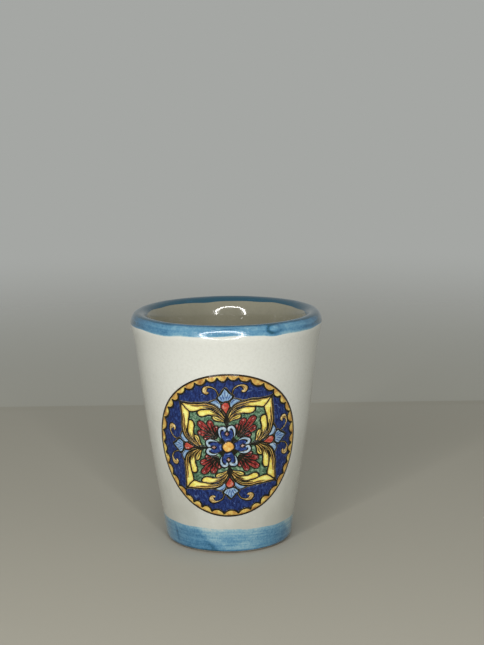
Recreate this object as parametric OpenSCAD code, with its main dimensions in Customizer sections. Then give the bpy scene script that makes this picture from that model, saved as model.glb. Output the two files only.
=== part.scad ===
// A small flared maiolica cup: a fired clay body, its glaze coats, two blue bands
// and a round painted rosette on the front, which faces -Y. The cup stands on z = 0.
// Millimetres, +Z up, origin at the middle of the foot.

/* [Cup] */
// Height from the table to the top of the lip
cup_h = 60; // [54:1:66]
// Radius at the widest part of the lip
rim_r = 24.5; // [22:0.5:27]
// Radius that the outer wall would have at the table
foot_r = 16.2; // [15:0.1:18]
// How far the wall bows out from a straight line
belly = 0.55; // [0:0.01:1]
// How far the wall flares out below the lip, beyond that bow
flare = 0.32; // [0:0.01:0.5]
// Lean of the inside wall from upright, in degrees
inner_lean = 6.5; // [5.5:0.1:7]
// Height of the inside floor above the table
floor_z = 6.2; // [5:0.1:8]
// Radius where the inside wall meets the inside floor
floor_round = 5; // [3:0.5:7]

/* [Foot] */
// Radius of the bare clay edge that meets the table
foot_edge_r = 15.5; // [14.5:0.1:16]
// Radius of the recess under the foot
recess_r = 12.4; // [10:0.1:13]
// Depth of the recess under the foot
recess_h = 1.2; // [0.6:0.1:2]
// Height of the bare clay below the blue foot band
bare_z = 0.4; // [0.3:0.1:0.8]

/* [Glaze] */
// Thickness of every glaze coat
glaze_t = 0.3; // [0.2:0.05:0.5]
// Height of the top edge of the foot band
foot_band_z = 6.8; // [5:0.1:8]
// Depth of the rim band's outer edge below the lip's top
rim_band_out = 2.7; // [2.2:0.1:3.2]
// Thickness of each layer of painted enamel
enamel_t = 0.08; // [0.06:0.01:0.12]

/* [Rosette] */
// Height of the rosette's centre
rosette_z = 29.3; // [28:0.1:31]
// Radius of the rosette
rosette_r = 19.05; // [17:0.05:19.5]
// Turn of the pattern, counter-clockwise as seen from the front
rosette_turn = 3; // [-10:0.5:10]
// Number of gold lobes round the border
lobe_count = 38; // [24:2:48]
// Depth of each gold lobe
lobe_depth = 1.2; // [0.8:0.1:1.6]

/* [Hidden] */

$fn = 96;

// Lip: rounds that run into each other without a corner. Each has a radius, and the next
// begins where the surface has turned by the named angle from upright.
shoulder_r = 4.9;
shoulder_low = -5.9;
shoulder_angle = 21.5;
fall_r = 2.88;
fall_angle = 39;
turn_in_r = 4.53;
turn_in_angle = 21.5;
throat_r = 9;

// Centres of the rounds, from the widest point over the crown and down into the cup
shoulder_c = [rim_r - shoulder_r, cup_h - 2.8];
brow_r = (cup_h - shoulder_c[1] - shoulder_r * sin(shoulder_angle)) / (1 - sin(shoulder_angle));
brow_c = shoulder_c + (shoulder_r - brow_r) * [cos(shoulder_angle), sin(shoulder_angle)];
fall_c = [brow_c[0], cup_h - fall_r];
turn_in_c = fall_c + (turn_in_r - fall_r) * [cos(fall_angle), -sin(fall_angle)];
throat_c = turn_in_c + (throat_r - turn_in_r) * [cos(turn_in_angle), -sin(turn_in_angle)];
shoulder_z = shoulder_c[1] + shoulder_r * sin(shoulder_low);

// Heights between which the wall flares out under the lip
flare_z = [cup_h - 10, cup_h - 3];

// Lower edge of the rim band, as an angle on the shoulder's round
rim_band_angle = asin((cup_h - rim_band_out - shoulder_c[1]) / shoulder_r);

// Heights at which the straight facets of the wall's bow meet
wall_knots = [16, 26, 36, 44, 50, 51.5, 53, 54.5];

// The rosette is laid out flat, then rolled onto the cone that fits the wall at its centre
wall_slope = (rim_r - foot_r) / cup_h + 4 * belly * (1 - 2 * rosette_z / cup_h) / cup_h;
cone_k = sqrt(1 + wall_slope * wall_slope);
cone_sin = wall_slope / cone_k;
cone_reach = outer_r(rosette_z) / cone_sin;

ring_w = 0.3;
lobe_base_r = rosette_r - ring_w - 0.15;
lobe_half = 180 / lobe_count;

boss_r = 1.35;
line_w = 0.22;

// --- Profiles: [radius, height] points of the turned shapes ---

function outer_r(z) =
    let (t = z / cup_h)
    let (f = max(0, min(1, (z - flare_z[0]) / (flare_z[1] - flare_z[0]))))
    foot_r + (rim_r - foot_r) * t + 4 * belly * t * (1 - t) + flare * f * f * (3 - 2 * f);

function ellipse_arc(c, a, b, from, to, n) = [
    for (i = [0:n])
        let (angle = from + (to - from) * i / n)
        [c[0] + a * cos(angle), c[1] + b * sin(angle)]
];

function backwards(points) = [for (i = [len(points) - 1:-1:0]) points[i]];

// Outer wall between two heights, set in from the glazed surface
function wall_line(z0, z1, inset) = [
    for (z = concat([z0], [for (k = wall_knots) if (k > z0 && k < z1) k], [z1]))
        [outer_r(z) - inset, z]
];

function arc(c, r, from, to, n) = ellipse_arc(c, r, r, from, to, n);

// Shoulder below the rim band, from the wall up to the band's lower edge
function shoulder_below(inset) =
    arc(shoulder_c, shoulder_r - inset, shoulder_low, rim_band_angle, 2);

// The rim band's own stretch of the lip, over the crown and a little way into the cup
function lip_over(inset) = concat(
    arc(shoulder_c, shoulder_r - inset, rim_band_angle, shoulder_angle, 3),
    arc(brow_c, brow_r - inset, shoulder_angle + 14, 90, 5),
    arc(fall_c, fall_r - inset, 100, 180 - fall_angle, 4)
);

// The lip below the rim band's inner edge, down to the straight inside wall
function throat(inset) = concat(
    arc(turn_in_c, turn_in_r - inset, 180 - fall_angle, 180 - turn_in_angle, 3),
    arc(throat_c, throat_r - inset, 182 - turn_in_angle, 180 - inner_lean, 3)
);

// Inside surface from the rim band's edge down to the rounded corner and the floor
function inside_line(inset) =
    let (top = throat_c + throat_r * [-cos(inner_lean), sin(inner_lean)])
    let (corner_z = floor_z + floor_round)
    let (meet_z = corner_z - floor_round * sin(inner_lean))
    let (corner_r = top[0] - (top[1] - meet_z) * tan(inner_lean) - floor_round * cos(inner_lean))
    concat(
        throat(inset),
        arc([corner_r, corner_z], floor_round + inset, -inner_lean, -90, 5),
        [[0, floor_z - inset]]
    );

module turned(points) {
    rotate_extrude(angle = 360) polygon(points);
}

// --- Rosette layout: flat [x, y] points about its centre, x to the right, y up ---

function turn(p, angle) = [
    p[0] * cos(angle) - p[1] * sin(angle),
    p[0] * sin(angle) + p[1] * cos(angle)
];

function flip(points) = [for (p = points) [-p[0], p[1]]];

function swap(points) = [for (p = points) [p[1], p[0]]];

// Cubic curve through its first and last control point
function curve(p, n) = [
    for (i = [0:n])
        let (t = i / n, s = 1 - t)
        s * s * s * p[0] + 3 * s * s * t * p[1] + 3 * s * t * t * p[2] + t * t * t * p[3]
];

// A flat point rolled onto the wall, as seen from the front: [x, z]
function rolled(p) =
    let (reach = norm([p[0], p[1] + cone_reach]))
    let (z = rosette_z + (reach - cone_reach) / cone_k)
    [outer_r(z) * sin(atan2(p[0], p[1] + cone_reach) / cone_sin), z];

module figure(points, angle = 0) {
    polygon([for (p = points) rolled(turn(p, angle + rosette_turn))]);
}

module four_ways(points) {
    for (k = [0:3])
        figure(points, 90 * k);
}

module both_sides(points) {
    four_ways(points);
    four_ways(flip(points));
}

module disc(r) {
    figure([for (i = [0:71]) turn([r, 0], 5 * i)]);
}

// A brush stroke of changing width along a line of points
function stroke(path, widths) =
    let (last = len(path) - 1)
    let (sides = [
        for (i = [0:last])
            let (along = path[min(i + 1, last)] - path[max(i - 1, 0)])
            let (half = widths[i] / 2 / norm(along))
            [-along[1] * half, along[0] * half]
    ])
    concat(
        [for (i = [0:last]) path[i] + sides[i]],
        [for (i = [last:-1:0]) path[i] - sides[i]]
    );

// Width that starts thin, swells to its full size and ends thin
function swelling(n, thin, full) = [
    for (i = [0:n])
        thin + (full - thin) * sin(180 * i / n)
];

// Layer of enamel: 0 lies on the glaze, 1 on layer 0, and so on
module enamel(layer) {
    low = layer * enamel_t;
    intersection() {
        rotate([90, 0, 0])
            linear_extrude(height = rim_r + 2)
                children();
        turned(concat(
            wall_line(foot_band_z, shoulder_z, -low),
            backwards(wall_line(foot_band_z, shoulder_z, -low - enamel_t))
        ));
    }
}

function lobe_r(angle) =
    let (across = (angle % (2 * lobe_half)) / lobe_half - 1)
    lobe_base_r - lobe_depth * sqrt(max(0, 1 - across * across));

function lobed_edge() = [
    for (i = [0:6 * lobe_count - 1])
        let (angle = i * 360 / (6 * lobe_count))
        turn([lobe_r(angle), 0], angle)
];

// One side of a corner leaf, from the cusp to the tip, along its outer edge
function leaf_outer() = concat(
    curve([[0.12, 6.7], [0.4, 10], [2.6, 12.6], [6.8, 11.8]], 8),
    curve([[6.8, 11.8], [8.8, 11.4], [10.4, 11.6], [12.2, 12.2]], 4)
);

// The same side from the fold back to the cusp, along its three inner lobes
function leaf_inner() = concat(
    [[9.6, 9.6]],
    curve([[8.6, 9.4], [8.2, 9.6], [7.9, 9.7], [7.8, 9.9]], 2),
    curve([[7.6, 9.5], [7.2, 8.6], [6, 8.6], [4.7, 8.8]], 4),
    curve([[4.4, 8.4], [4.2, 7.5], [2.6, 7.3], [0.12, 6.4]], 5)
);

function corner_leaf() = concat(
    leaf_outer(),
    [for (p = backwards(swap(leaf_outer()))) if (p[0] < 12.1) p],
    backwards(swap(leaf_inner())),
    [for (i = [1:len(leaf_inner()) - 1]) leaf_inner()[i]]
);

function field_edge() = [
    for (k = [0:3])
        for (p = concat([[0, 6.2]], backwards(leaf_inner()),
                [for (i = [1:len(leaf_inner()) - 1]) swap(leaf_inner())[i]]))
            turn(p, -90 * k)
];

// A rounded lobe that grows from a point
function lobe(root, angle, reach, width) = [
    for (p = concat(
            curve([[0, 0], [width * 0.2, reach * 0.4], [width * 0.6, reach * 0.5], [width * 0.5, reach * 0.8]], 4),
            ellipse_arc([0, reach * 0.8], width / 2, reach * 0.2, 30, 150, 4),
            backwards(curve([[0, 0], [-width * 0.2, reach * 0.4], [-width * 0.6, reach * 0.5],
                [-width * 0.5, reach * 0.8]], 4))))
        if (norm(p) > 0 || p[1] > 0)
            root + turn(p, angle - 90)
];

module palmette_shapes() {
    for (k = [0:3])
        for (leaflet = [[0, 6.3, 1.7], [21, 4.9, 1.5], [-21, 4.9, 1.5], [42, 3.3, 1.2], [-42, 3.3, 1.2]])
            figure(concat([[2.2, 2.2]], lobe([2.2, 2.2], 45 + leaflet[0], leaflet[1], leaflet[2])), 90 * k);
}

function petal_half() = concat(
    curve([[0.9, 1.6], [1.3, 2.4], [2.5, 2.6], [2.35, 3.9]], 5),
    curve([[2.3, 4.2], [2.1, 5.3], [0.9, 5.5], [0.35, 4.8]], 5)
);

function petal() = concat(petal_half(), [[0, 4.1]], backwards(flip(petal_half())));

function petal_curl() = stroke(
    curve([[0.35, 4.45], [0.9, 5.6], [2.5, 4.9], [2, 3]], 8),
    swelling(8, 0.15, 0.45)
);

function berry() = concat(
    [[0, 8.5]],
    curve([[0.15, 8.8], [0.4, 9.5], [1.15, 9.6], [1.15, 10.4]], 4),
    ellipse_arc([0, 10.4], 1.15, 1.1, 15, 165, 8),
    backwards(flip(curve([[0.15, 8.8], [0.4, 9.5], [1.15, 9.6], [1.15, 10.4]], 4)))
);

function bud_half() = concat(
    [[0.55, 11.45], [0.95, 11.6]],
    curve([[1.7, 12.5], [1.9, 13.2], [0.7, 14], [0, 15.1]], 5)
);

function bud() = concat(bud_half(), [for (p = backwards(flip(bud_half()))) if (p[0] < 0) p]);

function leaflet() = concat(
    curve([[1.2, 11.5], [1.4, 11.9], [1.7, 12.4], [2, 12.6]], 3),
    [[2.6, 12.35], [3.7, 12.5]],
    curve([[3.2, 12.15], [2.6, 12], [2, 11.6], [1.5, 11.1]], 3)
);

function scroll_line() = concat(
    curve([[2.7, 13.4], [2.8, 15.2], [4.4, 16.2], [5.5, 15.4]], 8),
    curve([[5.9, 15], [6.2, 14.4], [5.8, 13.9], [5.2, 14.1]], 3)
);

function scroll_widths() = [for (i = [0:12]) 0.2 + 0.05 * i];

module scroll_shapes() {
    both_sides(stroke(scroll_line(), scroll_widths()));
}

// --- Nodes ---

module earthenware_body() {
    color("peru") turned(concat(
        [[0, recess_h], [recess_r, recess_h], [recess_r + recess_h / 2, 0], [foot_edge_r, 0]],
        wall_line(bare_z, shoulder_z - 0.5, glaze_t),
        shoulder_below(glaze_t),
        lip_over(glaze_t),
        inside_line(glaze_t)
    ));
}

module outer_glaze() {
    color("ivory") turned(concat(
        wall_line(foot_band_z, shoulder_z - 0.5, 0),
        shoulder_below(0),
        backwards(shoulder_below(glaze_t)),
        backwards(wall_line(foot_band_z, shoulder_z - 0.5, glaze_t))
    ));
}

module inner_glaze() {
    color("antiquewhite") turned(concat(
        inside_line(0),
        backwards(inside_line(glaze_t))
    ));
}

module rim_band() {
    color("steelblue") turned(concat(
        lip_over(0),
        backwards(lip_over(glaze_t))
    ));
}

module foot_band() {
    color("steelblue") turned(concat(
        wall_line(bare_z, foot_band_z, 0),
        backwards(wall_line(bare_z, foot_band_z, glaze_t))
    ));
}

module rosette_ground() {
    color("midnightblue") enamel(0) figure(lobed_edge());
}

module border_lobes() {
    color("goldenrod") enamel(0) difference() {
        disc(rosette_r - ring_w);
        figure(lobed_edge());
    }
}

module border_ring() {
    color("black") enamel(0) difference() {
        disc(rosette_r);
        disc(rosette_r - ring_w);
    }
}

module leaf_frame() {
    color("gold") enamel(1) four_ways(corner_leaf());
}

module green_field() {
    color("seagreen") enamel(1) difference() {
        figure(field_edge());
        palmette_shapes();
        four_ways(petal());
        disc(boss_r);
    }
}

module palmettes() {
    color("darkred") enamel(1) palmette_shapes();
}

module flower_petals() {
    color("navy") enamel(1) four_ways(petal());
}

module petal_curls() {
    color("lightsteelblue") enamel(2) both_sides(petal_curl());
}

module petal_marks() {
    color("lightpink") enamel(2) four_ways([[0, 2.95], [0.28, 3.3], [0, 3.65], [-0.28, 3.3]]);
}

module flower_boss() {
    color("orange") enamel(1) disc(boss_r);
}

module bud_petals() {
    color("lightblue") enamel(1) four_ways(bud());
}

module bud_leaflets() {
    color("powderblue") enamel(1) both_sides(leaflet());
}

module bud_berries() {
    color("orangered") enamel(1) four_ways(berry());
}

module scrolls() {
    color("darkgoldenrod") enamel(1) scroll_shapes();
}

module contour_lines() {
    color("black") enamel(2) {
        difference() {
            disc(boss_r + line_w);
            disc(boss_r);
        }
        for (k = [0:3])
            figure(stroke([[9.6, 9.6], [10.9, 10.9], [12.1, 12.1]], [line_w, line_w, line_w]), 90 * k);
        both_sides(stroke(curve([[0.9, 8.2], [2, 10.5], [4, 10.6], [7, 10.6]], 6), swelling(6, 0.1, line_w)));
        both_sides(stroke(curve([[0.9, 7.4], [2, 8.9], [3.2, 9.4], [5.6, 9.8]], 6), swelling(6, 0.1, line_w)));
    }
}

earthenware_body();
outer_glaze();
inner_glaze();
rim_band();
foot_band();
rosette_ground();
border_lobes();
border_ring();
leaf_frame();
green_field();
palmettes();
flower_petals();
petal_curls();
petal_marks();
flower_boss();
bud_petals();
bud_leaflets();
bud_berries();
scrolls();
contour_lines();
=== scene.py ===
"""A small flared cup of glazed earthenware with blue bands and a painted rosette on its front.

The cup stands on z = 0 and its front faces -Y. Lengths are in millimetres until a mesh is made, and
angles round the cup are counted from the front towards +X.
"""
import math

import bpy
import numpy as np
from mathutils import Matrix, Vector
from mathutils.geometry import delaunay_2d_cdt


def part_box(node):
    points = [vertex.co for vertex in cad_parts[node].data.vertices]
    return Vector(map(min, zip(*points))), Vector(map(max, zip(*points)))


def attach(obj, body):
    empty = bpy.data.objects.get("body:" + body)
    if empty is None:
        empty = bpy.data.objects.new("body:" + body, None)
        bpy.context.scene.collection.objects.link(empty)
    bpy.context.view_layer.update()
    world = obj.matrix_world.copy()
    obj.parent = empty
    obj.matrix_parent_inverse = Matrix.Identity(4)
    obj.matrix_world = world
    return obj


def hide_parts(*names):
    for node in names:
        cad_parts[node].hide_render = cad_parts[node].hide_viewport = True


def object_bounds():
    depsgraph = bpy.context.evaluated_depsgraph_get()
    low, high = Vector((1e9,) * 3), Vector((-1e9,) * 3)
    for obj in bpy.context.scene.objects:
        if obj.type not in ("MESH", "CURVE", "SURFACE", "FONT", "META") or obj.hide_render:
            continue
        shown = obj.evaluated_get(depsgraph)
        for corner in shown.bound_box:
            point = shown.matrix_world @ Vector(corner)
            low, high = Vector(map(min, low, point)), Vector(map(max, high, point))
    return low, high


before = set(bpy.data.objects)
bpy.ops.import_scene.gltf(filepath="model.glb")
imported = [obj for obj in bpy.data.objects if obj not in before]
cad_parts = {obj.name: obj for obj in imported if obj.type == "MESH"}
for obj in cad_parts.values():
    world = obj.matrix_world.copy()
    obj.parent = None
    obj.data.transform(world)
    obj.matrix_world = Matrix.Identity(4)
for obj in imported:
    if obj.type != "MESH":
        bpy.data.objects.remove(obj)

MM = 0.001
cad_low, cad_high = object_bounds()


def heights(node):
    """A node's lowest and highest point."""
    low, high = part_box(node)
    return low[2] / MM, high[2] / MM


# -------- the cup's sizes, from the frame

cup_h = cad_high[2] / MM
rim_r = (cad_high[0] - cad_low[0]) / 2 / MM
bare_z, foot_band_z = heights("foot_band")
rim_band_z = heights("rim_band")[0]
glaze_t = 0.3
# The wall bows out by its belly halfway up, and by its flare just below the lip.
belly = 0.55
flare = 0.32
flare_z = cup_h - 10, cup_h - 3
floor_z = heights("inner_glaze")[0] + glaze_t
floor_round = 5.0
inner_lean = 6.5
recess_r, recess_h = 12.4, 1.2
foot_edge_r = 15.5

# The lip's rounds: each radius, and the slope from upright at which the next round begins. The
# shoulder also has the slope it starts at, and how far its centre lies below the top.
shoulder_r, shoulder_low, shoulder_angle, shoulder_drop = 4.9, -5.9, 21.5, 2.8
fall_r, fall_angle = 2.88, 39.0
turn_in_r, turn_in_angle = 4.53, 21.5
throat_r = 9.0

# The foot's radius follows from the foot band's top edge, which lies on the bowed wall.
foot_box_low, foot_box_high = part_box("foot_band")
foot_band_r = (foot_box_high[0] - foot_box_low[0]) / 2 / MM
band_share = foot_band_z / cup_h
foot_r = (foot_band_r - rim_r * band_share - 4 * belly * band_share * (1 - band_share)) / (1 - band_share)


def unit(x):
    """A value held between 0 and 1."""
    return np.clip(x, 0, 1)


def outer_r(z):
    """Radius of the glazed outer wall at a height."""
    z = np.asarray(z, float)
    t = z / cup_h
    f = unit((z - flare_z[0]) / (flare_z[1] - flare_z[0]))
    return foot_r + (rim_r - foot_r) * t + 4 * belly * t * (1 - t) + flare * f * f * (3 - 2 * f)


def polar(radius, degrees):
    """A flat point at a distance and an angle."""
    a = np.radians(degrees)
    return np.stack([radius * np.cos(a), radius * np.sin(a)], -1)


shoulder_c = np.array([rim_r - shoulder_r, cup_h - shoulder_drop])
shoulder_sin = math.sin(math.radians(shoulder_angle))
brow_r = (shoulder_drop - shoulder_r * shoulder_sin) / (1 - shoulder_sin)
brow_c = shoulder_c + polar(shoulder_r - brow_r, shoulder_angle)
fall_c = np.array([brow_c[0], cup_h - fall_r])
turn_in_c = fall_c + polar(turn_in_r - fall_r, -fall_angle)
throat_c = turn_in_c + polar(throat_r - turn_in_r, -turn_in_angle)
shoulder_z = shoulder_c[1] + shoulder_r * math.sin(math.radians(shoulder_low))

# The rosette is drawn flat and rolled onto the cone that fits the wall at its centre.
ring_low, ring_high = heights("border_ring")
rosette_z = (ring_low + ring_high) / 2
wall_slope = (rim_r - foot_r) / cup_h + 4 * belly * (1 - 2 * rosette_z / cup_h) / cup_h
cone_k = math.hypot(1, wall_slope)
cone_sin = wall_slope / cone_k
cone_reach = float(outer_r(rosette_z)) / cone_sin
rosette_r = (ring_high - ring_low) / 2 * cone_k
rosette_turn = 3.0


# -------- node materials

def rgb(red, green, blue):
    """An sRGB colour from 0 to 255 as a linear colour."""
    def linear(c):
        c /= 255
        return c / 12.92 if c <= 0.04045 else ((c + 0.055) / 1.055) ** 2.4
    return (linear(red), linear(green), linear(blue), 1.0)


class Paint:
    """Builds one node material: texture, mixing and a glossy surface. Colours are sRGB, 0 to 255."""

    def __init__(self, roughness=0.18, coat=0.4, specular=0.5):
        self.material = bpy.data.materials.new("paint")
        self.material.use_nodes = True
        self.tree = self.material.node_tree
        self.tree.nodes.clear()
        finish = {"Roughness": roughness, "Specular IOR Level": specular, "Coat Weight": coat}
        self.surface = self.node("BsdfPrincipled", {**finish, "Coat Roughness": 0.02})
        self.out = self.node("OutputMaterial", {"Surface": self.surface.outputs["BSDF"]})

    def node(self, kind, sockets=None, **settings):
        """A new node with its settings, and what feeds its sockets, by their name or number."""
        made = self.tree.nodes.new("ShaderNode" + kind)
        for key, value in settings.items():
            setattr(made, key, value)
        for key, value in (sockets or {}).items():
            self.feed(value, made.inputs[key])
        return made

    def feed(self, value, socket):
        """Links a socket, or sets a number, vector or linear colour."""
        if isinstance(value, (tuple, float, int)):
            socket.default_value = value
        else:
            self.tree.links.new(value, socket)

    def scaled(self, where, scale, turn=0.0):
        """Coordinates multiplied by a scale and turned by an angle in degrees."""
        sockets = {"Vector": where, "Scale": scale, "Rotation": (0, 0, math.radians(turn))}
        return self.node("Mapping", sockets).outputs["Vector"]

    def flat(self, across, up, turn=0.0):
        """The rosette's flat coordinates in millimetres, scaled."""
        return self.scaled(self.node("UVMap", uv_map="Flat").outputs["UV"], (across, up, 1.0), turn)

    def wrap(self, along, across):
        """Coordinates of a turned coat, scaled round the cup and across its section."""
        where = self.node("Attribute", attribute_name="wrap").outputs["Vector"]
        return self.scaled(where, (along, along, across))

    def solid(self, scale, stretch=1.0):
        """The cup's own space in millimetres, scaled, and stretched upwards."""
        size = scale / MM
        return self.scaled(self.node("TexCoord").outputs["Object"], (size, size, size / stretch))

    def noise(self, where, detail=3.0, roughness=0.55, distortion=0.0):
        """Soft noise from 0 to 1."""
        grain = {"Detail": detail, "Roughness": roughness, "Distortion": distortion}
        return self.node("TexNoise", {"Vector": where, "Scale": 1.0, **grain}).outputs["Fac"]

    def dots(self, where, size):
        """White dots of a size on black, one in each cell."""
        cells = self.node("TexVoronoi", {"Vector": where, "Scale": 1.0})
        return self.ramp(cells.outputs["Distance"], (size * 0.5, 1.0), (size, 0.0))

    def ramp(self, value, *stops):
        """Stops are (position, colour or grey)."""
        made = self.node("ValToRGB", {"Fac": value})
        elements = made.color_ramp.elements
        while len(elements) < len(stops):
            elements.new(1.0)
        for element, (position, colour) in zip(elements, stops):
            element.position = position
            element.color = rgb(*colour) if isinstance(colour, tuple) else (colour, colour, colour, 1)
        return made.outputs["Color"]

    def tint(self, base, colour, texture, *stops):
        """Mixes a colour into a base, as far as a texture's ramp says."""
        a, b = (rgb(*value) if isinstance(value, tuple) else value for value in (base, colour))
        factor = self.ramp(texture, *stops)
        return self.node("Mix", {0: factor, 6: a, 7: b}, data_type="RGBA").outputs[2]

    def math(self, operation, a, b):
        return self.node("Math", {0: a, 1: b}, operation=operation).outputs[0]

    def around(self, value, size):
        """A texture of 0 to 1 as an offset of that size round 0."""
        return self.math("MULTIPLY", self.math("SUBTRACT", value, 0.5), size)

    def tone(self):
        """The tone that the mesh carries: the load of pigment, a painted shade on the white wall and the
        rim band, or how far inside an outline it is.
        """
        return self.node("Attribute", attribute_name="tone").outputs["Fac"]

    def colour(self, value):
        self.feed(value, self.surface.inputs["Base Color"])

    def gloss(self, value, low, high):
        """Roughness that follows a texture from low to high."""
        spread = self.node("MapRange", {"Value": value, "To Min": low, "To Max": high})
        self.feed(spread.outputs["Result"], self.surface.inputs["Roughness"])

    def bump(self, *layers):
        """Layers are (height from 0 to 1, depth in millimetres)."""
        normal = {}
        for height, depth in layers:
            made = self.node("Bump", {"Height": height, "Distance": depth * MM, **normal})
            normal = {"Normal": made.outputs["Normal"]}
        self.feed(normal["Normal"], self.surface.inputs["Normal"])


def plain_glaze(light, shade, speck):
    """A glossy glaze: soft clouding, fine grain, a few specks and pinholes. Tone 1 is its lightest; on the
    white wall the tone is a painted shade.
    """
    p = Paint()
    clouds = p.noise(p.solid(0.1, 1.4), detail=4)
    # On the white wall the tone paints shade: darker low down, lighter near the rim.
    depth = p.math("SUBTRACT", p.around(clouds, 1.1), p.around(p.tone(), 1.0))
    base = p.tint(light, shade, depth, (0, 0), (0.6, 1))
    grain = p.noise(p.solid(1.5), detail=5, roughness=0.7)
    base = p.tint(base, shade, grain, (0.45, 0), (0.75, 0.36))
    p.colour(p.tint(base, speck, p.dots(p.solid(0.12), 0.02), (0, 0), (1, 0.6)))
    p.gloss(grain, 0.06, 0.13)
    p.bump((p.noise(p.solid(0.5), detail=3), 0.05), (p.dots(p.solid(0.5), 0.16), -0.02))
    return p.material


def blue_glaze():
    """Watery blue brushed round the cup. Tone is the load of pigment, with painted shade added on the rim:
    thin coats are pale.
    """
    p = Paint(coat=0.5)
    streaks = p.noise(p.wrap(0.07, 1.5), detail=5, roughness=0.65, distortion=0.5)
    pools = p.noise(p.wrap(0.22, 0.4), detail=4, distortion=0.8)
    speckle = p.noise(p.wrap(1.8, 1.8), detail=4, roughness=0.7)
    load = p.tone()
    for texture, size in ((streaks, 0.75), (pools, 0.5), (speckle, 0.65)):
        load = p.math("ADD", load, p.around(texture, size))
    p.colour(p.ramp(load, (0, (172, 182, 178)), (0.25, (125, 160, 173)), (0.5, (84, 131, 158)),
                    (0.75, (51, 102, 136)), (1.0, (20, 72, 93))))
    p.gloss(speckle, 0.05, 0.13)
    p.bump((pools, 0.08), (speckle, 0.035), (p.dots(p.wrap(0.9, 0.9), 0.22), 0.04))
    return p.material


def clay():
    """Bare fired clay: grey-brown, gritty and matt."""
    p = Paint(roughness=0.85, coat=0.0)
    grit = p.noise(p.solid(3.0), detail=6, roughness=0.75)
    stain = p.noise(p.solid(0.25), detail=3)
    base = p.tint((112, 104, 92), (160, 150, 134), grit, (0.35, 0), (0.7, 1))
    p.colour(p.tint(base, (86, 83, 76), stain, (0.45, 0), (0.75, 0.6)))
    p.gloss(grit, 0.75, 0.95)
    p.bump((grit, 0.07))
    return p.material


def enamel(dark, mid, light, grain=1.1, stretch=1.0, turn=0.0, edge=None, reach=0.5,
           balance=0.5, spread=0.17, spots=0.45):
    """Brushed enamel. The three colours cloud into each other; edge tints where tone is low."""
    p = Paint(roughness=0.16, coat=0.1, specular=0.3)
    brush = p.noise(p.flat(grain * stretch, grain, turn), detail=4, roughness=0.6, distortion=0.5)
    fine = p.noise(p.flat(grain * 3.3, grain * 3.3, turn + 35), detail=3)
    base = p.ramp(brush, (balance - spread, dark), (balance, mid), (balance + spread, light))
    base = p.tint(base, light, fine, (0.52, 0), (0.8, spots))
    base = p.tint(base, dark, fine, (0.22, spots), (0.46, 0))
    if edge:
        near = p.math("ADD", p.tone(), p.around(fine, reach * 0.8))
        base = p.tint(base, edge, near, (0, 1), (reach, 0))
    p.colour(base)
    p.gloss(brush, 0.11, 0.26)
    p.bump((brush, 0.03), (fine, 0.012))
    return p.material


MATERIALS = {
    "white_glaze": plain_glaze((195, 196, 190), (170, 170, 161), (104, 96, 82)),
    "inside_glaze": plain_glaze((137, 134, 117), (120, 117, 101), (82, 77, 64)),
    "blue_glaze": blue_glaze(),
    "biscuit_clay": clay(),
    "black_enamel": enamel((7, 9, 8), (17, 18, 12), (39, 36, 20)),
    "ring_enamel": enamel((11, 8, 3), (31, 23, 6), (57, 44, 12), 0.8),
    "cobalt_enamel": enamel((6, 13, 43), (16, 33, 84), (45, 69, 124), 0.9, stretch=2.2, turn=30,
                            edge=(5, 11, 31), spread=0.2, spots=0.6),
    "fleck_enamel": enamel((46, 66, 132), (84, 112, 170), (150, 172, 200)),
    "gold_enamel": enamel((122, 74, 34), (176, 134, 66), (206, 188, 104), 0.55, edge=(110, 72, 36),
                          reach=0.4, balance=0.45, spread=0.2, spots=0.7),
    "tan_enamel": enamel((112, 84, 44), (182, 150, 88), (220, 204, 150), 0.9, spread=0.2),
    "olive_enamel": enamel((58, 52, 36), (102, 92, 62), (146, 134, 94), 1.0, spread=0.2),
    "orange_enamel": enamel((136, 96, 44), (186, 148, 76), (212, 190, 110), 0.9, spread=0.2, spots=0.6),
    "yellow_enamel": enamel((190, 146, 60), (208, 198, 82), (222, 220, 132), 0.8, edge=(180, 132, 62),
                            reach=0.7, balance=0.4, spots=0.7),
    "green_enamel": enamel((16, 42, 34), (62, 96, 72), (150, 178, 150), 1.0, spread=0.22, spots=0.9),
    "crimson_enamel": enamel((48, 10, 14), (116, 22, 27), (168, 78, 68), 1.4, edge=(177, 104, 87),
                             spots=0.6),
    "petal_enamel": enamel((8, 16, 56), (22, 42, 104), (62, 90, 142), 1.3),
    "pale_blue_enamel": enamel((75, 106, 152), (116, 148, 180), (169, 188, 197), 0.9, stretch=0.6,
                               spread=0.2, spots=0.6),
    "curl_enamel": enamel((94, 123, 155), (145, 166, 183), (192, 201, 203), 1.6, spread=0.2, spots=0.7),
    "vein_enamel": enamel((20, 34, 88), (33, 53, 112), (60, 85, 135)),
    "pink_enamel": enamel((140, 78, 76), (172, 132, 126), (196, 182, 176), 1.6),
    "boss_enamel": enamel((183, 119, 49), (203, 160, 78), (214, 192, 118), 1.0, edge=(174, 115, 57),
                          reach=0.4, spots=0.6),
    "scarlet_enamel": enamel((120, 33, 31), (165, 52, 43), (189, 131, 101), 1.3, spread=0.2, spots=0.7),
}
for name, material in MATERIALS.items():
    material.name = name


# -------- meshes

def placed(name, data):
    """A new object in the scene."""
    made = bpy.data.objects.new(name, data)
    bpy.context.scene.collection.objects.link(made)
    return made


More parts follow.
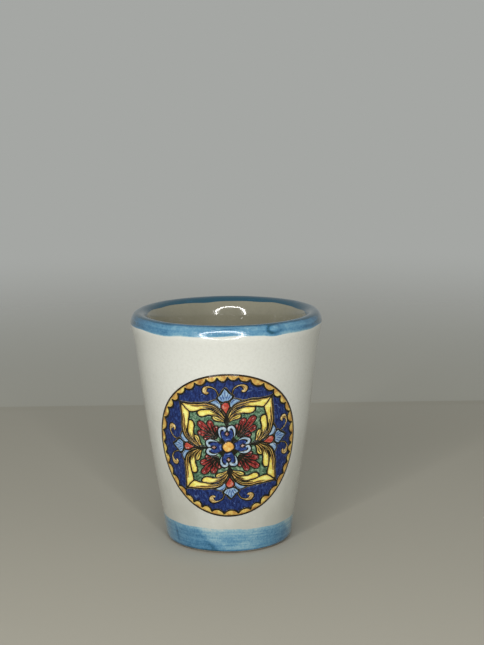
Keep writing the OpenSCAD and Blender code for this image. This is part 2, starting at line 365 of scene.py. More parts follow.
def add_piece(name, verts, faces, material, node, tone, slot=None, flat=None, wrap=None):
    """Makes a mesh in metres, gives it its material and hands it to the frame. The slot argument is not
    used."""
    mesh = bpy.data.meshes.new(name)
    mesh.from_pydata((np.asarray(verts, float) * MM).tolist(), [], faces)
    mesh.validate()
    mesh.polygons.foreach_set("use_smooth", [True] * len(mesh.polygons))
    mesh.attributes.new("tone", "FLOAT", "POINT").data.foreach_set("value", np.asarray(tone, float))
    if flat is not None:
        corner = np.empty(len(mesh.loops), int)
        mesh.loops.foreach_get("vertex_index", corner)
        layer = mesh.uv_layers.new(name="Flat")
        layer.data.foreach_set("uv", np.asarray(flat, float)[corner].ravel())
    if wrap is not None:
        mesh.attributes.new("wrap", "FLOAT_VECTOR", "POINT").data.foreach_set("vector", wrap.ravel())
    mesh.materials.append(MATERIALS[material])
    piece = placed(name, mesh)
    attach(piece, "root")
    slot or material
    if node:
        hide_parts(node)
    return piece


def quads(rings, size, looped=True, closed=True):
    """Faces between rings of points. The rings run in a loop, and each ring is closed, unless told."""
    faces = []
    for i in range(rings if looped else rings - 1):
        a, b = i * size, (i + 1) % rings * size
        for j in range(size if closed else size - 1):
            k = (j + 1) % size
            faces.append((a + j, b + j, b + k, a + k))
    return faces


def lengths(points):
    """Distance along a line at each of its points."""
    return np.concatenate([[0], np.cumsum(np.linalg.norm(np.diff(points, axis=0), axis=1))])


def on_cup(angle, radius, z):
    """A point at an angle from the front, counted towards +X."""
    return np.stack([radius * np.sin(angle), -radius * np.cos(angle), z + 0 * angle], -1)


def dent(angle, z):
    """The slight unevenness of a wall made by hand."""
    return (0.035 * np.sin(2 * angle + 0.09 * z + 0.7)
            + 0.025 * np.sin(3 * angle - 0.14 * z + 2.1)
            + 0.012 * np.sin(7 * angle + 0.31 * z))


TURNS = 360
WRAP_R = 20
SHARP_EDGE = math.radians(50)


def lathe(name, section, material, node, closed=True, tone=None):
    """Turns a section round the axis. section(angle) gives [radius, z] rows. A section that isn't
    closed starts and ends on the axis, and has no tone of its own."""
    angles = np.arange(TURNS) * math.tau / TURNS - math.pi
    rings = np.stack([section(a) for a in angles])
    if not closed:
        poles = rings[0, [0, -1]]
        rings = rings[:, 1:-1]
    count = rings.shape[1]
    points = on_cup(angles[:, None], rings[..., 0], rings[..., 1]).reshape(-1, 3)
    around = WRAP_R * np.cos(angles)[:, None], WRAP_R * np.sin(angles)[:, None]
    wrap = np.stack(np.broadcast_arrays(*around, lengths(rings[0])[None]), -1).reshape(-1, 3)
    faces = quads(TURNS, count, closed=closed)
    if not closed:
        first, last = len(points), len(points) + 1
        points = np.vstack([points] + [[[0, 0, pole[1]]] for pole in poles])
        wrap = np.vstack([wrap, np.zeros((2, 3))])
        for i in range(TURNS):
            a, b = i * count, (i + 1) % TURNS * count
            faces += [(first, b, a), (last, a + count - 1, b + count - 1)]
    value = tone(angles, rings).ravel() if tone else np.full(len(points), 0.5)
    piece = add_piece(name, points, faces, material, node, value, wrap=wrap)
    piece.data.set_sharp_from_angle(angle=SHARP_EDGE)


# -------- the cup

def arc(centre, radius, start, stop, count):
    """Points along a round, between two angles in degrees."""
    return centre + polar(radius, np.linspace(start, stop, count))


def join(*parts):
    """Joins lines end to end without repeating a point."""
    out = [np.asarray(parts[0], float)]
    for part in parts[1:]:
        part = np.asarray(part, float)
        same = np.linalg.norm(part[0] - out[-1][-1]) < 1e-6
        out.append(part[1:] if same else part)
    return np.vstack(out)


def skin(inset):
    """The cup's surface from the foot over the lip to the middle of the floor, set in by inset."""
    z = np.linspace(bare_z, shoulder_z - 0.2, 90)
    corner_z = floor_z + floor_round
    lean = math.radians(inner_lean)
    top = throat_c + polar(throat_r, 180 - inner_lean)
    meet_z = corner_z - floor_round * math.sin(lean)
    corner_r = top[0] - (top[1] - meet_z) * math.tan(lean) - floor_round * math.cos(lean)
    return join(
        np.stack([outer_r(z) - inset, z], -1),
        arc(shoulder_c, shoulder_r - inset, shoulder_low, shoulder_angle, 12),
        arc(brow_c, brow_r - inset, shoulder_angle, 90, 12),
        arc(fall_c, fall_r - inset, 90, 180 - fall_angle, 8),
        arc(turn_in_c, turn_in_r - inset, 180 - fall_angle, 180 - turn_in_angle, 6),
        arc(throat_c, throat_r - inset, 180 - turn_in_angle, 180 - inner_lean, 8),
        np.linspace(top + (inset, 0), (corner_r + (floor_round + inset) * math.cos(lean), meet_z), 40),
        arc((corner_r, corner_z), floor_round + inset, -inner_lean, -90, 14),
        np.linspace((corner_r, floor_z - inset), (0, floor_z - inset), 10),
    )


SKIN = skin(0)
RUN = lengths(SKIN)
CROWN = int(SKIN[:, 1].argmax())


def run_at(z):
    """Distance along the skin of the outer wall's point at a height."""
    return float(np.interp(z, SKIN[:CROWN, 1], RUN[:CROWN]))


run_crown = float(RUN[CROWN])
run_rim_in = run_crown + math.radians(90 - fall_angle) * fall_r
run_end = float(RUN[-1])


def skin_at(run):
    """Points of the skin at distances along it."""
    return np.stack([np.interp(run, RUN, SKIN[:, 0]), np.interp(run, RUN, SKIN[:, 1])], -1)


def uneven(points, angle):
    """Adds the hand-made unevenness to a section's radii, less and less near the axis."""
    out = points.copy()
    out[:, 0] += dent(angle, out[:, 1]) * unit(out[:, 0] / 8)
    return out


def outward(line):
    """Unit normals of a section's line, pointing away from the clay."""
    step = np.gradient(line, axis=0)
    out = np.stack([step[:, 1], -step[:, 0]], -1)
    return out / np.linalg.norm(out, axis=1)[:, None]


def coat(surface, thick, sink):
    """Closes a coat: the visible surface raised by thick, and its own copy sunk below."""
    out = outward(surface)
    return np.vstack([surface + out * np.reshape(thick, (-1, 1)), (surface - out * sink)[::-1]])


def hump(x, centre, width):
    """A smooth bump of height 1."""
    return np.exp(-((x - centre) / width) ** 2)


def bell(angle, centre, width):
    """A hump that repeats each turn. Centre and width are in degrees."""
    away = (angle - math.radians(centre) + math.pi) % math.tau - math.pi
    return hump(away, 0, math.radians(width))


def waves(angle, *terms):
    """A wavy line round the cup. Terms are (number of waves, height, shift)."""
    return sum(height * math.sin(number * angle + shift) for number, height, shift in terms)


def thin_ends(count, edge):
    """0 at both ends of a coat and 1 between, so that the coat's edges thin out."""
    x = np.arange(count)
    return unit(np.minimum(x, count - 1 - x) / edge) ** 0.5


RECESS_ROWS, RIM_ROWS, FOOT_ROWS, WALL_ROWS, INNER_ROWS = 14, 44, 24, 110, 80
# The knob of glaze on the lip, and the drips of the rim band's lower edge: where they are and how
# wide, both in degrees, and how long they are. A negative one lifts the edge.
KNOB = 28.5
DRIPS = ((-40, 9, 0.22), (2, 26, -0.3), (28, 5, 0.2), (118, 7, 0.3), (-140, 5, 0.35), (165, 9, 0.2))


def clay_section(angle):
    """The clay, from the recess under the foot over the foot ring to the surface below the glaze."""
    recess = np.linspace((0, recess_h), (recess_r - 0.6, recess_h), RECESS_ROWS)
    recess[:, 1] += 0.06 * np.sin(recess[:, 0] * 2.7) * unit(recess[:, 0] / 3)
    return join(
        recess,
        arc((recess_r - 0.4, recess_h - 0.6), 0.6, 90, 10, 5),
        arc((recess_r + 1.0, 0.5), 0.5, 190, 270, 5),
        arc((foot_edge_r - 0.2, 0.5), 0.5, 270, 350, 5),
        uneven(skin(glaze_t), angle),
    )


def rim_edge(angle):
    """Height of the rim band's lower edge: a brushed, slightly dripping line."""
    drips = sum(depth * bell(angle, place, width) for place, width, depth in DRIPS)
    return rim_band_z + waves(angle, (5, 0.08, 1.0), (11, 0.06, 0.4), (23, 0.03, 0)) - drips


def foot_edge(angle):
    """Height of the foot band's upper edge."""
    return foot_band_z + waves(angle, (1, -0.3, 0), (4, 0.1, 2), (13, 0.06, 1))


def lip_swell(run):
    """How far the glaze swells either side of the rim band's lower edge."""
    return 0.16 * hump(run, -0.35, 1.8)


def rim_section(angle):
    """The rim's glaze, from its lower edge over the lip, with the knob on it."""
    stop = run_rim_in + waves(angle, (4, 0.14, 0.6), (9, 0.1, 2), (17, 0.05, 0))
    run = np.linspace(run_at(rim_edge(angle)), stop, RIM_ROWS)
    surface = uneven(skin_at(run), angle)
    run -= run_at(rim_band_z)
    lump = 0.28 * bell(angle, KNOB, 4.0) * hump(run, 1.6, 0.9)
    lump -= 0.12 * bell(angle, KNOB - 1.0, 1.6) * hump(run, 1.5, 0.4)
    ripple = 0.012 * np.sin(13 * angle + 1.1 * run) * np.sin(5 * angle - 0.8 * run)
    thick = (0.04 + ripple) * thin_ends(RIM_ROWS, 7) ** 2 + lump + lip_swell(run)
    return coat(surface, thick, 0.2)


def foot_section(angle):
    """The foot's glaze, thickest at its lower edge."""
    surface = uneven(skin_at(np.linspace(0.25, run_at(foot_edge(angle)), FOOT_ROWS)), angle)
    down = np.linspace(1, 0, FOOT_ROWS)
    thick = 0.06 * (1 - (1 - down) ** 2) + 0.1 * down ** 3
    return coat(surface, thick * thin_ends(FOOT_ROWS, 3), 0.25)


def outer_section(angle):
    """The white glaze, which runs on under the edges of both bands."""
    run = np.linspace(run_at(foot_band_z - 1.2), run_at(rim_band_z + 1.2), WALL_ROWS)
    return coat(uneven(skin_at(run), angle), lip_swell(run - run_at(rim_band_z)), 0.25)


def inner_section(angle):
    """The inside glaze, from its surface's middle out to the lip and back along its underside."""
    thick = glaze_t * 0.9
    surface = uneven(skin_at(np.linspace(run_rim_in - 0.6, run_end, INNER_ROWS)), angle)
    back = surface - outward(surface) * thick
    surface[-1], back[-1] = (0, floor_z), (0, floor_z - thick)
    return np.vstack([surface[::-1], back])


def brush_load(angle, starts, spread):
    """Pigment left on the brush: 1 where each stroke starts, falling as the stroke runs leftwards."""
    load = np.zeros_like(angle)
    for start in starts:
        behind = (math.radians(start) - angle) % math.tau
        load = np.maximum(load, unit(behind / 0.12) * unit(1 - behind / math.radians(spread)))
    return load


def wall_painted_shade(angles, rings):
    """Painted shade: the white glaze is painted darker towards the foot band and lightest below the rim.
    """
    return unit((rings[..., 1] - foot_band_z) / (rim_band_z - foot_band_z))


def coat_tone(load):
    """Turns load(angle, run) into a tone. run goes from 0 to 1 across the coat."""
    def tone(angles, rings):
        value = load(angles[:, None], np.linspace(0, 1, rings.shape[1] // 2)[None])
        return np.concatenate([value, value[:, ::-1]], 1)
    return tone


@coat_tone
def rim_load_and_shade(angle, run):
    """The outside is lighter, the inside pooled and deep, and the knob is pale with a dark curl. The back
    and the two ends seen from the front carry painted shade.
    """
    aside = (angle - math.radians(KNOB)) / math.radians(4.2)
    away = np.hypot(aside, (run - 0.27) / 0.17)
    curl = hump(away, 1.0, 0.28) * np.clip(0.6 - 0.8 * aside, 0.2, 1)
    # Painted shade: the outer half darkens towards the back, and the band darkens at its two ends seen
    # from the front.
    return (0.38 + 0.18 * brush_load(angle, (38, 110, 190, 262, 330), 80)
            + 0.64 * unit((run - 0.42) / 0.25) + 0.14 * (1 - np.cos(angle)) * (run < 0.5)
            + 0.3 * hump(run, 0.47, 0.05) + 0.12 * hump(run, 0.16, 0.08) - 0.3 * unit(1 - run / 0.07)
            + 0.48 * np.abs(np.sin(angle)) ** 9 + 0.1 * bell(angle, 5, 24)
            + 0.5 * curl - 0.1 * hump(away, 0, 0.75))


@coat_tone
def foot_tone(angle, run):
    """Overlapping watery strokes, pale where the coat thins out at its top edge."""
    lean = angle + 0.34 * (run - 0.5)
    return (0.16 + 0.46 * brush_load(lean, (-14, 68, 140, 205, 280), 130) + 0.1 * bell(lean, -48, 26)
            + 0.18 * bell(lean, -19, 6) * hump(run, 0.22, 0.2)
            + 0.35 * bell(angle + 0.06 * run, -50, 1.6) * hump(run, 0.55, 0.3)
            + 0.3 * bell(lean, 96, 4) * hump(run, 0.5, 0.3)
            - 0.24 * unit((run - 0.72) / 0.28) + 0.3 * unit(1 - run / 0.06) + 0.14 * unit(1 - run / 0.5))


lathe("clay_body", clay_section, "biscuit_clay", "earthenware_body", closed=False)
# The white wall's tone is a painted shade, darker towards the foot.
lathe("white_wall_glaze", outer_section, "white_glaze", "outer_glaze", tone=wall_painted_shade)
lathe("inside_glaze", inner_section, "inside_glaze", "inner_glaze", closed=False)
lathe("rim_glaze", rim_section, "blue_glaze", "rim_band", tone=rim_load_and_shade)
lathe("foot_glaze", foot_section, "blue_glaze", "foot_band", tone=foot_tone)


# -------- flat drawing

def bezier(p0, p1, p2, p3, count=16):
    """A cubic curve through its first and last point."""
    t = np.linspace(0, 1, count + 1)[:, None]
    p0, p1, p2, p3 = (np.array(p, float) for p in (p0, p1, p2, p3))
    return (1 - t) ** 3 * p0 + 3 * (1 - t) ** 2 * t * p1 + 3 * (1 - t) * t ** 2 * p2 + t ** 3 * p3


def turned(points, degrees):
    """A line turned anticlockwise about the rosette's middle."""
    a = math.radians(degrees)
    return np.asarray(points, float) @ np.array([[math.cos(a), math.sin(a)], [-math.sin(a), math.cos(a)]])


def mirrored(points):
    """A line's mirror image across the upright axis."""
    return np.asarray(points, float) * (-1, 1)


def whole(half):
    """A closed outline from its right half."""
    return join(half, mirrored(half)[::-1])


def sampled(points, at):
    """The line's points at shares of its length."""
    points = np.asarray(points, float)
    run = lengths(points)
    at = np.asarray(at) * run[-1]
    return np.stack([np.interp(at, run, points[:, i]) for i in (0, 1)], -1)


def resampled(points, step, closed=False):
    """The same line with points about a step apart."""
    points = np.asarray(points, float)
    if closed:
        points = np.vstack([points, points[:1]])
    count = max(3, int(math.ceil(lengths(points)[-1] / step)))
    out = sampled(points, np.linspace(0, 1, count + 1))
    return out[:-1] if closed else out


def between(a, b, share, start, stop):
    """A line that runs between two others, over a part of their length."""
    at = np.linspace(start, stop, 20)
    return sampled(a, at) * (1 - share) + sampled(b, at) * share


def drawn_by_hand(points):
    """Shifts and wobbles the pattern a little, as a painter's hand does, away from its border."""
    x, y = points[:, 0], points[:, 1]
    shift = np.stack([
        0.012 * x + 0.35 * (x / 13) ** 2 + 0.006 * y,
        0.015 * x - 0.02 * y + 0.55 * (y / 14) ** 2 * unit(1 - (x / 12) ** 2),
    ], -1)
    wobble = np.stack([
        0.06 * np.sin(0.9 * y + 1.3) + 0.05 * np.sin(2.1 * x + 1.7 * y),
        0.06 * np.sin(1.1 * x + 0.4) + 0.05 * np.sin(1.9 * y - 2.2 * x),
    ], -1)
    return points + (shift + wobble) * unit((18 - np.hypot(x, y)) / 2)[:, None]


def rolled(points, height):
    """Flat points rolled onto the cup's wall and raised by a height."""
    reach = np.hypot(points[:, 0], points[:, 1] + cone_reach)
    z = rosette_z + (reach - cone_reach) / cone_k
    angle = np.arctan2(points[:, 0], points[:, 1] + cone_reach) / cone_sin
    radius = outer_r(z) + dent(angle, z) + height / cone_k
    return on_cup(angle, radius, z - height * wall_slope / cone_k)


LAYERS = []


class Layer:
    """Patches and strokes of one colour, gathered into one piece."""

    def __init__(self, name, material, node=None, slot=None):
        self.name, self.material, self.node, self.slot = name, material, node, slot
        self.points, self.faces, self.flat, self.tone = [], [], [], []
        self.count = 0
        LAYERS.append(self)

    def add(self, flat, height, faces, tone, free):
        """Adds a mesh drawn flat. A free one keeps its exact shape; the rest is drawn by hand."""
        flat = turned(flat if free else drawn_by_hand(flat), rosette_turn)
        self.points.append(rolled(flat, height))
        self.flat.append(flat)
        self.tone.append(tone)
        self.faces += [tuple(v + self.count for v in face) for face in faces]
        self.count += len(flat)

    def build(self):
        add_piece(self.name, np.vstack(self.points), self.faces, self.material, self.node,
                  np.concatenate(self.tone), self.slot, flat=np.vstack(self.flat))


# The underside of every patch and stroke is sunk below the glaze. The edge of a domed one lies below
# its nominal top by a share of its dome. A patch's inner points lie in rows, away from its edge, at
# these shares of its grid.
SUNK = -0.06
EDGE_DIP = 0.6
ROW_STEP = 0.87
EDGE_GAP = 0.35


def inside_outline(points, outline):
    """Which points lie inside a closed outline."""
    x, y = points[:, 0][:, None], points[:, 1][:, None]
    x0, y0 = outline[:, 0], outline[:, 1]
    x1, y1 = np.roll(x0, -1), np.roll(y0, -1)
    crosses = (y0 > y) != (y1 > y)
    with np.errstate(divide="ignore", invalid="ignore"):
        at = x0 + (y - y0) * (x1 - x0) / (y1 - y0)
    return (crosses & (x < at)).sum(1) % 2 == 1


def gap_to(points, outline):
    """Distance from each point to a closed outline."""
    along = np.roll(outline, -1, 0) - outline
    t = ((points[:, None] - outline) * along).sum(-1) / np.maximum((along ** 2).sum(-1), 1e-12)
    near = outline + unit(t)[..., None] * along
    return np.linalg.norm(points[:, None] - near, axis=-1).min(1)


def patch(layer, outline, top, dome=0.02, grid=0.35, reach=0.5, free=False):
    """A thin closed puddle of enamel inside an outline. It rises by dome towards its middle, and
    tone runs from 0 at the outline to 1 at reach millimetres inside it."""
    edge = resampled(outline, grid, closed=True)
    low, high = edge.min(0), edge.max(0)
    rows = np.arange(low[1], high[1], grid * ROW_STEP)
    x, y = np.meshgrid(np.arange(low[0], high[0], grid), rows)
    x = x + (np.arange(len(rows)) % 2)[:, None] * grid / 2
    inner = np.stack([x.ravel(), y.ravel()], -1)
    inner = inner[inside_outline(inner, edge)]
    inner = inner[gap_to(inner, edge) > grid * EDGE_GAP]
    flat = [Vector(p) for p in np.vstack([edge, inner]).tolist()]
    flat, _, triangles = delaunay_2d_cdt(flat, [], [list(range(len(edge)))], 1, 1e-5)[:3]
    flat = np.array([tuple(p) for p in flat])
    tone = unit(gap_to(flat, edge) / reach)
    sides = {(t[i], t[(i + 1) % 3]) for t in triangles for i in range(3)}
    count = len(flat)
    faces = [tuple(t) for t in triangles]
    faces += [tuple(v + count for v in reversed(t)) for t in triangles]
    faces += [(b, a, a + count, b + count) for a, b in sides if (b, a) not in sides]
    height = np.concatenate([top - EDGE_DIP * dome + dome * np.sqrt(tone), np.full(count, SUNK)])
    layer.add(np.vstack([flat, flat]), height, faces, np.tile(tone, 2), free)


def band(layer, inner, outer, top, dome=0.03, rows=6):
    """A closed ring of enamel between two loops with the same number of points."""
    share = np.linspace(0, 1, rows)
    count = len(inner)
    rings = inner[:, None] * (1 - share)[None, :, None] + outer[:, None] * share[None, :, None]
    rings = np.concatenate([rings, outer[:, None], inner[:, None]], 1)
    rise = np.sqrt(np.sin(math.pi * share).clip(0, 1))
    height = np.concatenate([top - EDGE_DIP * dome + dome * rise, [SUNK, SUNK]])
    tone = np.concatenate([np.minimum(share, 1 - share) * 2, [0, 0]])
    faces = [(a, d, c, b) for a, b, c, d in quads(count, rows + 2)]
    layer.add(rings.reshape(-1, 2), np.tile(height, count), faces, np.tile(tone, count), free=True)


# A stroke's cross-section: each point's distance from the middle, in half widths, and how high the
# upper ones stand, as shares of the stroke's thickness. The last two are its underside.
SPREAD = np.array([-1, -0.55, 0, 0.55, 1, 0.5, -0.5])
LIFT = np.array([0, 0.8, 1, 0.8, 0])


def stroke(layer, path, width, top, thick=0.025, step=0.12, closed=False, free=False):
    """One brush stroke: a low rounded ridge of changing width. width(t) is for t from 0 to 1."""
    line = resampled(path, step, closed)
    count, size = len(line), len(SPREAD)
    if closed:
        along = np.roll(line, -1, 0) - np.roll(line, 1, 0)
    else:
        along = np.vstack([line[1:], line[-1:]]) - np.vstack([line[:1], line[:-1]])
    along /= np.maximum(np.linalg.norm(along, axis=1), 1e-9)[:, None]
    across = np.stack([-along[:, 1], along[:, 0]], -1)
    t = np.linspace(0, 1, count)
    half = np.array([width(x) for x in t]) / 2
    rings = line[:, None] + SPREAD[None, :, None] * (half[:, None] * across)[:, None]
    height = np.full((count, size), SUNK)
    height[:, :len(LIFT)] = top + thick * LIFT
    faces = [(d, c, b, a) for a, b, c, d in quads(count, size, looped=closed)]
    if not closed:
        faces += [tuple(range(size)), tuple(range(count * size - 1, (count - 1) * size - 1, -1))]
    layer.add(rings.reshape(-1, 2), height.ravel(), faces, np.repeat(t, size), free)


def taper(full, start=0.15, end=0.15, swell_at=0.4):
    """A stroke's width that starts and ends thin."""
    def width(t):
        shape = math.sin(math.pi / 2 * min(1, t / swell_at, (1 - t) / (1 - swell_at)))
        ends = start if t < swell_at else end
        return full * (ends + (1 - ends) * shape)
    return width


def steady(full, shake=0.14):
    """A nearly even width with a hand's slight shake."""
    return lambda t: full * (1 + shake * math.sin(31 * t + 1) + shake * math.sin(57 * t))


def quarters(draw):
    """Draws a figure in all four quarters."""
    for k in range(4):
        draw(lambda points, k=k: turned(points, 90 * k))


def mirrored_quarters(draw):
    """Draws a figure and its mirror image in all four quarters."""
    quarters(draw)
    quarters(lambda place: draw(lambda points: place(mirrored(points))))


def circle(radius, count=180):
    """A closed loop round the rosette's middle."""
    return polar(radius, np.arange(count) * 360 / count)


# -------- the rosette's figures
# All are drawn for the upper right of the rosette, whose middle is (0, 0).

LEAF_TOP = join(
    bezier((0.1, 6.3), (0.25, 8.7), (1.7, 11.4), (4.8, 11.6), 24),
    bezier((4.8, 11.6), (7.2, 11.75), (9.6, 11.35), (11.8, 11.8), 16),
)
LEAF_FOLD = join([(11.8, 11.8)], bezier((9.5, 9.5), (8.9, 9.3), (7.8, 9.6), (7.0, 9.8), 10))
LEAF_SEAM_1 = join(
    bezier((0.15, 6.3), (0.6, 8.2), (2.4, 10.1), (4.8, 10.1), 20),
    bezier((4.8, 10.1), (5.8, 10.1), (6.4, 9.9), (7.0, 9.8), 8),
)
LEAF_CAP_2 = join(
    bezier((7.0, 9.8), (7.8, 9.0), (6.7, 7.8), (5.2, 8.3), 14),
    bezier((5.2, 8.3), (4.6, 8.45), (4.2, 8.6), (3.4, 8.45), 8),
)
LEAF_SEAM_2 = bezier((0.2, 6.2), (0.7, 7.5), (1.9, 8.4), (3.4, 8.45), 16)
LEAF_CAP_3 = join(
    bezier((3.4, 8.45), (3.9, 7.6), (3.0, 6.9), (2.1, 7.0), 12),
    bezier((2.1, 7.0), (1.4, 6.9), (0.8, 6.8), (0.15, 6.0), 8),
)
TONGUES = (
    join(LEAF_TOP, LEAF_FOLD, LEAF_SEAM_1[::-1]),
    join(LEAF_SEAM_1, LEAF_CAP_2, LEAF_SEAM_2[::-1]),
    join(LEAF_SEAM_2, LEAF_CAP_3),
)
TONGUE_SIDES = (LEAF_TOP, LEAF_SEAM_1), (LEAF_SEAM_1, LEAF_SEAM_2), (LEAF_SEAM_2, LEAF_CAP_3[::-1])
# Brush lines that fan out from the cusp: the tongue each is on, its share of the way from the
# tongue's first side to its second, where it starts and stops along them, and its width.
SHADING = (
    (0, 0.16, 0.05, 0.99, 0.75), (0, 0.48, 0.05, 0.94, 0.55), (0, 0.76, 0.05, 0.62, 0.4),
    (1, 0.2, 0.05, 0.66, 0.36), (1, 0.5, 0.05, 0.7, 0.36), (1, 0.86, 0.05, 0.8, 0.3),
    (2, 0.25, 0.05, 0.7, 0.3),
)
HATCHING = (
    (0, 0.34, 0.14, 0.9, 0.36), (0, 0.66, 0.26, 0.72, 0.36), (0, 0.84, 0.46, 0.7, 0.2),
    (1, 0.36, 0.3, 0.74, 0.26), (1, 0.7, 0.44, 0.84, 0.22),
    (2, 0.5, 0.35, 0.85, 0.26),
)
# The leaf's own outlines: each line, its width, its height above the glaze and its thickness.
LEAF_LINES = (
    (LEAF_TOP, taper(0.46, 0.5, 0.9, 0.5), 0.12, 0.06),
    (LEAF_SEAM_1, taper(0.42, 0.45, 0.9, 0.6), 0.13, 0.06),
    (LEAF_SEAM_2, taper(0.4, 0.45, 0.9, 0.6), 0.13, 0.06),
    (LEAF_FOLD[1:], steady(0.4), 0.12, 0.05),
    (LEAF_CAP_2, steady(0.42), 0.12, 0.05),
    (LEAF_CAP_3, taper(0.4, 0.9, 0.4, 0.4), 0.12, 0.05),
)
# The green field's edge, from the cusp on the upright axis to the diagonal.
LEAF_INSIDE = join([(0, 5.7)], LEAF_CAP_3[::-1], LEAF_CAP_2[::-1], LEAF_FOLD[::-1][:-1])
CUSP = (-0.5, 8.0), (-0.8, 6.9), (0, 4.9), (0.8, 6.9), (0.5, 8.0), (0, 8.7)
LEAF_TIP = (9.2, 9.2), (10.6, 10.6), (12.2, 12.3)

# The palmettes' lobes are (tip, width). The ticks are small lines on the green beside them.
PALMETTE_ROOT = np.array((2.5, 2.5))
PALMETTE = (
    ((5.9, 2.75), 1.4), ((2.6, 5.9), 1.4),
    ((7.25, 4.5), 1.65), ((4.3, 7.35), 1.65),
    ((7.0, 7.3), 1.85),
)
TICKS = (
    ((8.3, 5.4), (8.9, 7.6)), ((5.4, 8.1), (6.5, 8.0)),
    ((8.1, 7.9), (9.0, 8.8)), ((7.3, 3.4), (7.9, 3.8)),
)

PETAL = whole(join(
    [(0, 1.2)],
    bezier((0.95, 1.3), (1.2, 2.2), (1.95, 2.8), (2.05, 3.8), 12),
    bezier((2.05, 3.8), (2.1, 5.1), (1.1, 5.6), (0.5, 5.1), 10),
    bezier((0.5, 5.1), (0.3, 4.9), (0.1, 4.6), (0.0, 4.2), 5),
))
PETAL_BASE = bezier((-0.8, 1.85), (-0.3, 2.15), (0.3, 2.15), (0.8, 1.85), 6)
CURL = join(
    bezier((1.55, 2.5), (2.15, 3.6), (2.0, 5.2), (1.05, 5.15), 14),
    bezier((1.05, 5.15), (0.45, 5.1), (0.3, 4.7), (0.6, 4.3), 8),
)
BUD = whole(join(
    bezier((0, 11.8), (0.9, 11.6), (1.7, 12.1), (1.95, 13.0), 12),
    bezier((1.95, 13.0), (1.3, 13.5), (0.7, 14.2), (0, 15.2), 12),
))
LEAFLET = join(
    bezier((0.9, 10.7), (1.2, 11.9), (1.9, 12.7), (2.8, 12.35), 12),
    bezier((2.8, 12.35), (3.2, 12.1), (3.5, 12.0), (4.1, 11.75), 6),
    bezier((4.1, 11.75), (3.1, 11.5), (2.0, 11.0), (1.4, 10.1), 12),
)
# A bud's veins, then its leaflet's: each line, its width and its height above the glaze.
VEINS = (
    (bezier((0.3, 12.2), (0.4, 13.0), (0.8, 13.3), (0.75, 13.9), 8), 0.26, 0.095),
    (bezier((0.7, 12.1), (0.9, 12.6), (1.3, 12.8), (1.3, 13.4), 8), 0.22, 0.095),
    (bezier((1.4, 11.2), (1.9, 12.0), (2.5, 12.3), (3.2, 12.3), 8), 0.24, 0.09),
    (bezier((1.3, 11.6), (1.6, 12.2), (2.0, 12.5), (2.4, 12.6), 8), 0.16, 0.09),
)
BERRY = whole(join(
    bezier((0, 8.3), (0.25, 9.4), (1.05, 9.7), (1.05, 10.6), 12),
    bezier((1.05, 10.6), (1.0, 11.4), (0.5, 11.6), (0, 11.65), 8),
))
SCROLL = join(
    bezier((1.6, 13.3), (1.9, 14.6), (2.6, 15.6), (3.7, 15.6), 16),
    bezier((3.7, 15.6), (5.0, 15.6), (5.4, 14.6), (4.75, 14.2), 14),
    bezier((4.75, 14.2), (4.5, 14.1), (4.2, 14.15), (4.05, 14.35), 4),
)

BORDER_LOBES = 38
LOBE_POINTS = 20
LOBE_DEPTH = 1.12
RING_WIDTH = 0.34
FLECKS = 130
cusp_r = rosette_r - 0.65


def lobe_phase(angle):
    """Place within a lobe, from -1 at one cusp over 0 to 1 at the next, and the lobe's number."""
    drift = 0.16 * np.sin(3 * angle + 0.5) + 0.12 * np.sin(7 * angle + 2.0)
    place = angle / math.tau * BORDER_LOBES + drift
    return (place % 1.0) * 2 - 1, np.floor(place) % BORDER_LOBES


def lobed_radius(angle):
    """Radius of the border's scalloped inner edge."""
    phase, number = lobe_phase(angle)
    depth = LOBE_DEPTH * (1 + 0.12 * np.sin(2.3 * number) + 0.08 * np.sin(5.1 * number + 1))
    return cusp_r - depth * (1 - phase ** 2) ** 0.7


def lobe_outline(root, tip, width):
    """A long lobe with a round end that grows from a root to a tip."""
    ahead = tip - root
    aside = np.array((-ahead[1], ahead[0])) / np.linalg.norm(ahead)
    half = join(bezier((0, 0.04), (0.3, 0.3), (0.55, 0.5), (0.78, 0.5), 14),
                bezier((0.78, 0.5), (0.93, 0.5), (1.0, 0.3), (1.0, 0.0), 8))
    both = join(half, half[::-1] * (1, -1))
    return root + both[:, :1] * ahead + both[:, 1:] * width * aside


def scroll_width(t):
    """A thin stem that swells into a round bulb."""
    return 0.03 + 0.22 * t + 0.95 * hump(t, 0.76, 0.16)


black = Layer("brush_lines", "black_enamel", "contour_lines")
ring = Layer("border_ring_line", "ring_enamel", "border_ring", slot="black_enamel")
ground = Layer("cobalt_ground", "cobalt_enamel", "rosette_ground")
gold_border = Layer("gold_border", "gold_enamel", "border_lobes")
leaves = Layer("corner_leaves", "yellow_enamel", "leaf_frame")
field = Layer("green_ground", "green_enamel", "green_field")
palmettes = Layer("red_palmettes", "crimson_enamel", "palmettes")
petals = Layer("blue_petals", "petal_enamel", "flower_petals", slot="cobalt_enamel")
curls = Layer("pale_curls", "curl_enamel", "petal_curls", slot="pale_blue_enamel")
# Pink marks on the petals; the same enamel also paints highlights on the palmette tips and berries.
marks_and_glints = Layer("pink_marks_and_glints", "pink_enamel", "petal_marks")
boss = Layer("yellow_boss", "boss_enamel", "flower_boss")
buds = Layer("pale_buds", "pale_blue_enamel", "bud_petals")
leaflets = Layer("pale_leaflets", "pale_blue_enamel", "bud_leaflets")
berries = Layer("red_berries", "scarlet_enamel", "bud_berries")
scrolls = Layer("gold_scrolls", "tan_enamel", "scrolls", slot="gold_enamel")
veins = Layer("blue_veins", "vein_enamel", slot="cobalt_enamel")
flecks = Layer("ground_flecks", "fleck_enamel", slot="pale_blue_enamel")
ochre = Layer("ochre_shading", "orange_enamel", slot="gold_enamel")
olive = Layer("olive_outlines", "olive_enamel", slot="gold_enamel")


